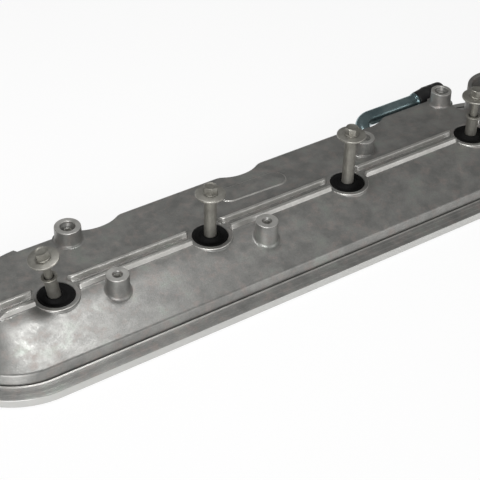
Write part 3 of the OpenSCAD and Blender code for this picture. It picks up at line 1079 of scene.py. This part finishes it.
    def rib(self, front: float) -> Form:
        """One long rib with leaning faces, round upper edges, a fillet on each side and ends that run out.

        Args:
            front: place of its front foot along Y.

        Returns:
            The form.
        """
        end = self.body_end - self.lean - self.end_run - 4
        w, h, lean, f = self.rib_w + 2 * self.rib_lean, self.rib_h, self.rib_lean, 0.8
        half = [(-f, -0.02), (-f * 0.45, 0.12), (-0.02, 0.42), (0.12, f), (lean - 0.08, h - 0.5),
                (lean + 0.08, h - 0.15), (lean + 0.4, h)]
        section = [(-f, -1.0)] + half + [(w - a, b) for a, b in reversed(half)] + [(w + f, -1.0)]
        run_out = [(-1.0, 0.02), (0.8, 0.15), (3.0, 0.45), (5.2, 0.85), (7.5, 1.0)]
        full = run_out[-1][0] - end
        stops = [(x - end, share) for x, share in run_out]
        stops += [(mix(full, -full, i / 40), 1.0) for i in range(1, 40)]
        stops += [(end - x, share) for x, share in reversed(run_out)]
        rings = []
        for x, share in stops:
            rings.append([(x, front + a, self.crown_z + (b * share if b > 0 else b)) for a, b in section])
        return Form().loft(rings)

    def pad(self) -> Form:
        """Oblong pad with round ends and soft edges.

        Returns:
            The form.
        """
        (x0, y0), (x1, y1) = self.pad_left, self.pad_right
        turn = math.atan2(y1 - y0, x1 - x0)
        rings = []
        for grow, z in ((0.5, -1.0), (0.5, -0.02), (0.15, 0.1), (-0.05, 0.35), (-0.2, 0.52), (-0.5, 0.6)):
            r = self.pad_r + grow
            ring = []
            for cx, cy, start in ((x1, y1, -90), (x0, y0, 90)):
                for i in range(25):
                    a = math.radians(start + 180 * i / 24) + turn
                    ring.append((cx + r * math.cos(a), cy + r * math.sin(a), self.crown_z + z))
            rings.append(ring)
        return Form().loft(rings)

    def neck_outside(self) -> Form:
        """Outside of the filler neck with a soft rim and a fillet at its foot.

        Returns:
            The form.
        """
        r, top = self.neck_r, self.neck_top
        profile = [(0, 5.1), (r + 2.2, 5.1), (r + 2.2, 5.62), (r + 1.0, 5.9), (r + 0.3, 6.7), (r, 8.2),
                   (r, top - 3.4), (r, top - 2.8), (r, top - 2.2), (r, top - 0.9), (r, top - 0.25),
                   (r - 0.1, top), (0, top)]
        return Form().lathe(profile, (*self.neck, 0), 96)

    def posts(self) -> Form:
        """What stands on the roof or hangs from it: the wells' cups, the bosses, the pillars and the pad.

        Returns:
            The forms as one.
        """
        out = Form()
        for x in self.wells():
            out.add(self.upright(x, 0, self.ring_r, self.floor_z - self.floor_t, self.rim_z, self.ring_r,
                                 self.ring_fillet, self.edge, 96))
        for b in self.bosses:
            foot = self.ground(b.y) - self.boss_root * self.wall
            out.add(self.upright(b.x, b.y, b.foot_r, foot, self.boss_top, b.top_r, self.boss_fillet,
                                 self.edge, 64))
        low, high, r = self.baffle_top, self.rim_z - self.wall / 2, self.pillar_r
        for x in self.pillar_x:
            out.lathe([(0, low), (r, low), (r, high), (0, high)], (x, self.pillar_y, 0), 40)
        return out.add(self.pad())

    def bores(self) -> Form:
        """What is bored or grooved in the casting.

        Returns:
            The forms as one.
        """
        out = Form()
        past, above, below = 0.01, 60.0, -1.0
        hole, well, rim, bevel = self.floor_hole_r, self.well_r, self.rim_z, 0.4
        start, floor, end = self.floor_z - self.floor_t - 2, self.floor_z, 30.0
        for x in self.wells():
            out.lathe([(0, start), (hole, start), (hole, floor), (well, floor), (well, rim - bevel),
                       (well + bevel, rim + past), (well + bevel, end), (0, end)], (x, 0, 0), 96)
        for b in self.bosses:
            out.lathe(self.boss_bore(b, past, above), (b.x, b.y, 0), 48)
        r, top = self.rivet_hole_r, self.rivet_hole_top
        for x in self.pillar_x:
            out.lathe([(0, 1), (r, 1), (r, top), (0, top)], (x, self.pillar_y, 0), 32)
        throat, floor, ledge = self.ledge_r, 9.3, self.ledge_z
        bore, rim, bevel = self.neck_bore_r, self.neck_top, 0.8
        out.lathe([(0, floor), (throat, floor), (throat, ledge), (bore, ledge), (bore, rim - bevel),
                   (bore + bevel, rim + past), (bore + bevel, above), (0, above)], (*self.neck, 0), 96)
        outer, inner, roof = self.groove_inset, self.groove_inset + self.groove_w, self.groove_depth
        rings = []
        for i, z in ((outer, below), (outer, roof), (inner, roof), (inner, below)):
            side, corner = self.half_w - i, self.corner_r - i
            rings.append(Level(z, self.half_len - i, -side, side, corner, corner).ring())
        out.loft(rings, round_path=True)
        tube = Breather()
        r, end = tube.seat_r, tube.bend_r + tube.leg + 4
        leg = Form().lathe([(0, 8), (r, 8), (r, end), (0, end)], steps=48)
        return out.add(leg.moved(tube.plane() @ Matrix.Rotation(math.pi / 2, 4, "X")))

    def boss_bore(self, boss: Boss, past: float, above: float) -> list[tuple[float, float]]:
        """Profile of a boss's hole, with its counterbore or countersink.

        Args:
            boss: the boss.
            past: how far the cut's bevel goes past the top face.
            above: height at which the cut ends.

        Returns:
            Radius and height of each point.
        """
        top, core = self.boss_top, self.thread_r
        low = top - boss.depth
        profile = [(0, low - 1.0), (core, low)]
        if boss.counterbored:
            wide, seat = self.counterbore_r, top - self.counterbore_depth
            mouth = wide + 0.35
            profile += [(core, seat), (wide, seat), (wide, top - 0.4), (mouth, top + past), (mouth, above)]
        else:
            wide = self.countersink_r
            profile += [(core, top - self.countersink_depth), (wide, top + past), (wide, above)]
        return profile + [(0, above)]

    def neck_way(self) -> Form:
        """Way from the neck down into the hollow.

        Returns:
            The form.
        """
        x, y = self.neck
        edge = self.low_corner[1] - self.wall - y
        start = math.asin(edge / self.ledge_r)
        angles = [mix(math.pi - start, math.tau + start, i / 60) for i in range(61)]
        r = self.ledge_r
        rings = [[(x + r * math.cos(a), y + r * math.sin(a), z) for a in angles] for z in (-1.0, 9.5)]
        return Form().loft(rings)

    def ribs(self) -> bpy.types.Object:
        """Makes both ribs, cut out round the wells.

        Returns:
            The object.
        """
        discs = Form()
        for x in self.wells():
            discs.lathe([(0, 18), (self.ring_r + 0.3, 18), (self.ring_r + 0.3, 32), (0, 32)], (x, 0, 0), 96)
        both = self.rib(self.rib_front[0]).add(self.rib(self.rib_front[1]))
        return combine(both.object("ribs"), [(Cut.TAKE, discs)], 40)

    def inset(self, x: float, y: float) -> float:
        """Distance from the rail's outer edge, inward.

        Args:
            x: place along X.
            y: place along Y.

        Returns:
            The distance.
        """
        dx = abs(x) - self.half_len + self.corner_r
        dy = abs(y) - self.half_w + self.corner_r
        if dx > 0 and dy > 0:
            return self.corner_r - math.hypot(dx, dy)
        return min(self.half_len - abs(x), self.half_w - abs(y))

    def zone(self, x: float, y: float, z: float) -> Zone:
        """Zone that a face is in.

        Args:
            x: place of its middle along X.
            y: place of its middle along Y.
            z: height of its middle.

        Returns:
            The zone: as cast, the seam painted near black as shade, or lighter for the bosses' machined tops
                and for edges, ribs, pad, bead and threads painted light as highlights.
        """
        for b in self.bosses:
            r = math.hypot(x - b.x, y - b.y)
            # The boss threads are painted light as glints; the boss tops are machined and also carry a
            # painted highlight
            in_hole = r < self.thread_r + 0.4 and z > self.boss_top - b.depth
            on_top = r < b.top_r and z > self.boss_top - 0.35
            if in_hole or on_top:
                return Zone.MACHINED_AND_HIGHLIGHT
        top, wide = self.crown_z, self.rib_w + 2 * self.rib_lean
        near = min(math.hypot(x - w, y) for w in self.wells())
        # The rings' front edges, the ribs and the pad's edge are painted light as highlights where they catch
        # the light
        on_edge = self.ring_r - 0.55 < near < self.ring_r + 0.02 and z > self.rim_z - 0.55
        on_ring = on_edge and y < self.ring_highlight_front
        over_rib = near > self.ring_r - 0.5 and any(f - 0.3 < y < f + wide + 0.3 for f in self.rib_front)
        on_rib = over_rib and top + 0.3 < z < top + self.rib_h + 0.1
        reach = self.pad_r + 2
        over_pad = (self.pad_left[0] - reach < x < self.pad_right[0] + reach
                    and abs(y - self.pad_left[1]) < reach)
        on_pad = over_pad and top + 0.01 < z < top + 0.56
        if on_ring or on_rib or on_pad:
            return Zone.MACHINED_AND_HIGHLIGHT
        if self.trim_z[0] < z < self.trim_z[1] and y < self.body_back:
            deep = self.inset(x, y)
            # Faces in the seam's groove are painted near black as shade
            if self.seam[0] < deep < self.seam[1] and z < self.seam_top:
                return Zone.SEAM
            # The bead is painted light as a highlight on its lit edge
            if self.bead[0] < deep < self.bead[1]:
                return Zone.MACHINED_AND_HIGHLIGHT
        return Zone.CAST

    def mark_zones(self, cover: bpy.types.Object) -> None:
        """Gives the seam its painted shade, and the machined tops and the painted highlights their lighter
        finish.

        Args:
            cover: the casting's object, with the finish of the rest of it.
        """
        for finish in (Finishes.SEAM, Finishes.MACHINED_AND_HIGHLIGHT):
            cover.data.materials.append(finish.value.material())
        for face in cover.data.polygons:
            middle = face.center / MM
            face.material_index = self.zone(middle.x, middle.y + MIDDLE_Y, middle.z).value

    def threads(self) -> list[bpy.types.Object]:
        """Makes the threads in the bosses.

        Returns:
            One object for each boss.
        """
        out = []
        for b in self.bosses:
            mouth = self.counterbore_depth if b.counterbored else self.countersink_depth
            thread = Thread(self.thread_r + 0.1, b.depth - mouth - 0.8, TOOTH)
            place = Matrix.Translation((b.x, b.y, self.boss_top - b.depth + 0.5))
            out.append(thread.build(place, "boss_thread", Finishes.CASTING))
        return out

    def build(self) -> bpy.types.Object:
        """Makes the casting as one closed mesh.

        Returns:
            The object.
        """
        levels = self.rail_levels() + self.body_levels()
        cover = Form().loft([lv.ring() for lv in levels]).object("casting")
        hollow = combine(self.hollow().object("hollow"), [(Cut.TAKE, self.corner_block(self.wall, -7))], 40)
        corner = self.corner_block(0, self.deck_z).object("corner")
        carve(cover, [(Cut.TAKE, corner), (Cut.TAKE, hollow), (Cut.JOIN, self.ribs())])
        return combine(cover, [(Cut.JOIN, self.posts()), (Cut.JOIN, self.neck_outside()),
                               (Cut.TAKE, self.bores()), (Cut.TAKE, self.neck_way())], 38)

    def make(self) -> None:
        """Builds the casting with the threads in its bosses, and dresses it."""
        threads = self.threads()
        cover = joined(self.build(), threads)
        dress(cover, Finishes.CASTING, "cover", "cover_casting")
        self.mark_zones(cover)


@dataclass
class Breather:
    """Breather tube, with its bead, bend and leg into the back wall, and the connector on its free end."""

    x: float = 111.76
    y: float = 62.5
    z: float = 18.0
    r: float = 5.7
    wall: float = 1.0
    bend_r: float = 12.0
    slope: float = 20.0
    bead_x: float = 167.5
    end_x: float = 178.7
    leg: float = 9.8
    sides: int = 48
    seat_r: float = 5.75
    mouth_r: float = 6.4
    connector_x: float = 168.7
    connector_r: float = 8.4
    connector_len: float = 24.0

    def plane(self) -> Matrix:
        """Plane of the bend."""
        turn = Matrix.Rotation(math.radians(self.slope), 4, "X")
        return Matrix.Translation((self.x, self.y, self.z)) @ turn

    def stops(self) -> list[tuple[float, float, float, float]]:
        """Path in the bend's plane, from the free end to the wall.

        Returns:
            Place along the run and across it, direction in radians and extra radius of each stop.
        """
        out = []
        bead = self.bead_x - self.x
        half_bead = ((1.6, 0.0), (1.35, 0.12), (1.1, 0.5), (0.8, 0.78), (0.4, 0.9))
        run = [(self.end_x - self.x, 0.0)]
        run += [(bead + d, g) for d, g in half_bead]
        run += [(bead - d, g) for d, g in reversed(half_bead)]
        run += [(mix(bead - 4, self.bend_r, i / 8), 0.0) for i in range(9)]
        out += [(u, 0.0, 0.0, g) for u, g in run]
        for i in range(1, 25):
            a = math.pi / 2 * i / 24
            out.append((self.bend_r * (1 - math.sin(a)), -self.bend_r * (1 - math.cos(a)), a, 0.0))
        out.append((0.0, -self.bend_r - self.leg, math.pi / 2, 0.0))
        return out

    def build(self) -> bpy.types.Object:
        """Makes the tube with its wall.

        Returns:
            The object.
        """
        plane = self.plane()
        outer, inner = [], []
        for u, v, turn, grow in self.stops():
            for rings, r in ((outer, self.r + grow), (inner, self.r - self.wall)):
                ring = []
                for k in range(self.sides):
                    b = math.tau * k / self.sides
                    side = r * math.cos(b)
                    local = Vector((u - side * math.sin(turn), v + side * math.cos(turn), r * math.sin(b)))
                    ring.append(tuple(plane @ local))
                rings.append(ring)
        return Form().loft(outer + inner[::-1], round_path=True).object("breather_tube_skin")

    def connector(self) -> bpy.types.Object:
        """Makes the rubber connector, with two low beads and a rolled mouth.

        Returns:
            The object.
        """
        seat, mouth, r, n = self.seat_r, self.mouth_r, self.connector_r, self.connector_len
        waist = r - 0.35
        profile = [(seat, 0.3), (6.2, 0), (6.7, 0), (7.0, 0.3), (7.6, 5), (8.0, 8), (r, 9), (r, 12),
                   (waist, 12.5), (waist, 13.2), (r, 13.7), (r, 17), (waist, 17.5), (waist, 18.2), (r, 18.7),
                   (r, n - 0.8), (r - 0.25, n - 0.2), (r - 0.9, n), (mouth + 0.5, n), (mouth, n - 0.5),
                   (mouth, 10), (seat, 10)]
        place = Matrix.Translation((self.connector_x, self.y, self.z)) @ Matrix.Rotation(math.pi / 2, 4, "Y")
        return Form().lathe(profile, steps=56).moved(place).object("connector_skin")

    def make(self) -> None:
        """Builds the tube and its connector, and dresses them."""
        dress(self.build(), Finishes.TUBE, "cover", "breather_tube")
        dress(self.connector(), Finishes.CONNECTOR, "cover", "tube_connector")


@dataclass
class Hardware:
    """Sleeve, washer, bolt and grommet of one well."""

    number: int
    x: float
    lean: float
    sleeve_z: float
    tip_z: float
    turn: float
    tilt_z: float = 17.9
    sleeve_len: float = 40.8
    sleeve_r: float = 4.15
    bore_r: float = 3.25
    lip_r: float = 5.3
    washer_r: float = 9.9
    washer_t: float = 1.6
    bolt_len: float = 57.0
    shank_r: float = 2.6
    thread_r: float = 3.0
    thread_len: float = 13.0
    across: float = 8.0
    collar_h: float = 1.0
    head_h: float = 4.8

    def axis(self, z: float) -> Matrix:
        """Place on the leaning axis at a height."""
        turn = Matrix.Rotation(math.radians(-self.lean), 4, "Y")
        along = Matrix.Translation((0, 0, z - self.tilt_z))
        return Matrix.Translation((self.x, 0, self.tilt_z)) @ turn @ along

    def sleeve(self) -> bpy.types.Object:
        """Makes the steel sleeve, with a flared lip and soft edges.

        Returns:
            The object.
        """
        n, r, lip, bore = self.sleeve_len, self.sleeve_r, self.lip_r, self.bore_r
        profile = [(bore, 0.3), (bore + 0.3, 0), (r - 0.3, 0), (r, 0.3), (r, n - 2.4), (r + 0.15, n - 2.0),
                   (r + 0.55, n - 1.55), (lip - 0.15, n - 1.15), (lip, n - 0.8), (lip, n - 0.3),
                   (lip - 0.25, n), (bore + 0.3, n), (bore, n - 0.3)]
        form = Form().lathe(profile, steps=56).moved(self.axis(self.sleeve_z))
        return form.object(f"sleeve_skin_{self.number}")

    def washer(self) -> bpy.types.Object:
        """Makes the washer, with round edges.

        Returns:
            The object.
        """
        r, t, bore = self.washer_r, self.washer_t, self.bore_r
        profile = [(bore, 0.15), (bore + 0.15, 0), (r - 0.5, 0), (r - 0.15, 0.12), (r, 0.4), (r, t - 0.4),
                   (r - 0.15, t - 0.12), (r - 0.5, t), (bore + 0.15, t), (bore, t - 0.15)]
        form = Form().lathe(profile, steps=72).moved(self.axis(self.tip_z + self.bolt_len - t))
        return form.object(f"washer_skin_{self.number}")

    def head(self) -> Form:
        """Hexagon head with a turned chamfer and a small dish in its top.

        Returns:
            The form, with its height counted from the bolt's tip.
        """
        base, top = self.bolt_len + 0.6, self.bolt_len + self.collar_h + self.head_h
        flat = self.across / 2
        dish = ((flat * 0.93, top), (flat * 0.86, top), (flat * 0.7, top - 0.25), (flat * 0.55, top - 0.3))
        rings: list[Ring] = [[] for _ in range(2 + len(dish))]
        steps = 72
        for i in range(steps):
            a = math.tau * i / steps
            out = flat / math.cos((a % (math.pi / 3)) - math.pi / 6)
            edge = top - 0.15 - max(0.0, out - flat * 0.98) * 0.75
            for ring, (r, z) in zip(rings, ((out, base), (out, edge), *dish)):
                ring.append((r * math.cos(a + self.turn), r * math.sin(a + self.turn), z))
        return Form().loft(rings)

    def bolt(self) -> bpy.types.Object:
        """Makes the bolt: turned shank and collar, hexagon head, and its thread as a swept helix.

        Returns:
            The object.
        """
        n, core = self.bolt_len, self.thread_r - TOOTH
        shank, end = self.shank_r, self.thread_len
        profile = [(0, 0), (2.0, 0), (core, 0.75), (core, end), (shank, end + 0.4), (shank, n - 0.6),
                   (shank + 0.15, n - 0.2), (3.0, n), (4.6, n), (4.9, n + 0.25), (4.85, n + 0.6),
                   (4.5, n + 0.95), (4.1, n + 1.05), (0, n + 1.05)]
        form = Form().lathe(profile, steps=56)
        form.add(self.head()).moved(self.axis(self.tip_z))
        body = form.object(f"bolt_skin_{self.number}", 28)
        screw = Thread(core + 0.02, self.thread_len - 1.2, TOOTH)
        return joined(body, [screw.build(self.axis(self.tip_z + 0.9), "bolt_thread", Finishes.BOLT)])

    def grommet(self) -> bpy.types.Object:
        """Makes the rubber grommet, with a raised lip round its sleeve and a shallow trough.

        Returns:
            The object.
        """
        outer, low = 11.85, 11.5
        shape = [(outer, low, 0.0), (outer, 23.4, 0.0), (11.6, 23.9, 0.0), (11.2, 24.1, 0.0),
                 (10.4, 24.0, 0.1), (9.3, 23.4, 0.3), (8.2, 23.1, 0.5), (7.2, 23.4, 0.7), (6.4, 24.4, 0.9),
                 (5.8, 25.2, 1.0), (5.2, 25.6, 1.0), (4.6, 25.4, 1.0), (4.2, 24.6, 1.0), (4.2, low, 1.0)]
        lean = math.radians(self.lean)
        rings = []
        for r, z, share in shape:
            middle = self.x - (z - self.tilt_z) * math.tan(lean) * share
            stretch = 1 + (1 / math.cos(lean) - 1) * share
            rings.append([(middle + x * stretch, y, z) for x, y, _ in circle(r, 0, steps=80)])
        return Form().loft(rings, round_path=True).object(f"grommet_skin_{self.number}")

    def make(self) -> None:
        """Builds the sleeve, washer, bolt and grommet, and dresses them."""
        n = self.number
        dress(self.sleeve(), Finishes.SLEEVE, f"sleeve_{n}", f"sleeve_{n}")
        dress(self.washer(), Finishes.WASHER, f"washer_{n}", f"washer_{n}")
        dress(self.bolt(), Finishes.BOLT, f"bolt_{n}", f"bolt_{n}")
        dress(self.grommet(), Finishes.GROMMET, "cover", f"grommet_{n}")


@dataclass(frozen=True)
class Studio:
    """Camera, pale floor and soft light."""

    eye: Point = (-0.40594, -0.5610, 0.5491)
    right: Point = (0.8375, -0.5461, 0.0184)
    up: Point = (0.3308, 0.5335, 0.7784)
    ahead: Point = (0.4349, 0.6458, -0.6275)
    lens: float = 96.47
    sensor: float = 36.0

    def camera(self) -> None:
        """Puts the camera where the photograph was taken from."""
        data = bpy.data.cameras.new("camera")
        data.lens, data.sensor_width = self.lens, self.sensor
        data.clip_start, data.clip_end = 0.01, 50
        made = bpy.data.objects.new("camera", data)
        axes = Matrix((self.right, self.up, tuple(-c for c in self.ahead))).transposed()
        made.matrix_world = Matrix.Translation(self.eye) @ axes.to_4x4()
        bpy.context.scene.collection.objects.link(made)
        bpy.context.scene.camera = made

    def floor(self) -> None:
        """Pale floor that keeps the part's shadow and shows white to the camera."""
        side = 6.0
        mesh = bpy.data.meshes.new("floor")
        corners = [(-side, -side, 0), (side, -side, 0), (side, side, 0), (-side, side, 0)]
        mesh.from_pydata(corners, [], [(0, 1, 2, 3)])
        made = bpy.data.objects.new("floor", mesh)
        bpy.context.scene.collection.objects.link(made)
        paint = bpy.data.materials.new("floor_paint")
        paint.use_nodes = True
        paint.node_tree.nodes.clear()
        g = Shader(paint.node_tree)
        path = g.node("ShaderNodeLightPath")
        dull = g.node("ShaderNodeBsdfDiffuse", {"Color": (0.86, 0.86, 0.86, 1)})
        glow = g.node("ShaderNodeEmission", {"Color": (1, 1, 1, 1), "Strength": 1.08})
        seen = g.math("MAXIMUM", path.outputs["Is Camera Ray"], path.outputs["Is Glossy Ray"])
        share = g.math("MULTIPLY", seen, 0.8)
        both = g.node("ShaderNodeMixShader", {0: share, 1: dull.outputs[0], 2: glow.outputs[0]})
        g.node("ShaderNodeOutputMaterial", {0: both.outputs[0]})
        mesh.materials.append(paint)

    def lights(self) -> None:
        """Soft lights over and beside the part, and an even pale world."""
        for name, place, aim, size, power in (
            ("top", (-0.08, 0.075, 0.62), (-0.2, 0.0, 0.0), 0.16, 1.4),
            ("left", (-1.0, -1.2, 0.5), (0.0, 0.0, 0.0), 0.9, 17.0),
            ("front", (0.7, -1.4, 0.45), (0.05, 0.0, 0.0), 1.0, 4.0),
        ):
            data = bpy.data.lights.new(name, "AREA")
            data.size, data.energy = size, power
            lamp = bpy.data.objects.new(name, data)
            lamp.location = place
            lamp.rotation_mode = "QUATERNION"
            lamp.rotation_quaternion = (Vector(aim) - Vector(place)).to_track_quat("-Z", "Y")
            bpy.context.scene.collection.objects.link(lamp)
        world = bpy.data.worlds.new("studio")
        world.use_nodes = True
        world.node_tree.nodes.clear()
        g = Shader(world.node_tree)
        path = g.node("ShaderNodeLightPath")
        room = g.node("ShaderNodeBackground", {"Color": (0.95, 0.95, 0.93, 1), "Strength": 0.17})
        white = g.node("ShaderNodeBackground", {"Color": (1, 1, 1, 1), "Strength": 1.0})
        both = g.node("ShaderNodeMixShader", {0: path.outputs["Is Camera Ray"], 1: room.outputs[0],
                                              2: white.outputs[0]})
        g.node("ShaderNodeOutputWorld", {0: both.outputs[0]})
        bpy.context.scene.world = world


def finish_hidden() -> None:
    """Gives the pieces below the roof and in the rail, which stay as packed, their finishes."""
    for node, finish in (("rail_gasket", Finishes.GASKET), ("baffle_plate", Finishes.SHEET),
                         ("baffle_rivets", Finishes.RIVET)):
        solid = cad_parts[node]
        solid.data.materials.clear()
        solid.data.materials.append(finish.value.material())
        LOG.info("%s: %d faces as packed", node, len(solid.data.polygons))


def write_size() -> None:
    """Updates the view layer."""
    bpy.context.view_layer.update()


def main() -> None:
    """Builds every sub-assembly in order and sets the stage."""
    logging.basicConfig(level=logging.INFO, format="%(name)s: %(message)s")
    bpy.context.scene.view_settings.view_transform = "Standard"
    studio = Studio()
    studio.camera()
    casting = Casting()
    casting.make()
    wells = casting.wells()
    for row in (
        Hardware(1, wells[0], lean=9.0, sleeve_z=0.4347, tip_z=0.1305, turn=0.3),
        Hardware(2, wells[1], lean=0.0, sleeve_z=16.2, tip_z=1.6, turn=0.1),
        Hardware(3, wells[2], lean=0.0, sleeve_z=21.6, tip_z=7.0, turn=0.5),
        Hardware(4, wells[3], lean=0.0, sleeve_z=0.0, tip_z=0.0, turn=0.8),
    ):
        row.make()
    Breather().make()
    finish_hidden()
    studio.floor()
    studio.lights()
    write_size()


if __name__ == "__main__":
    main()
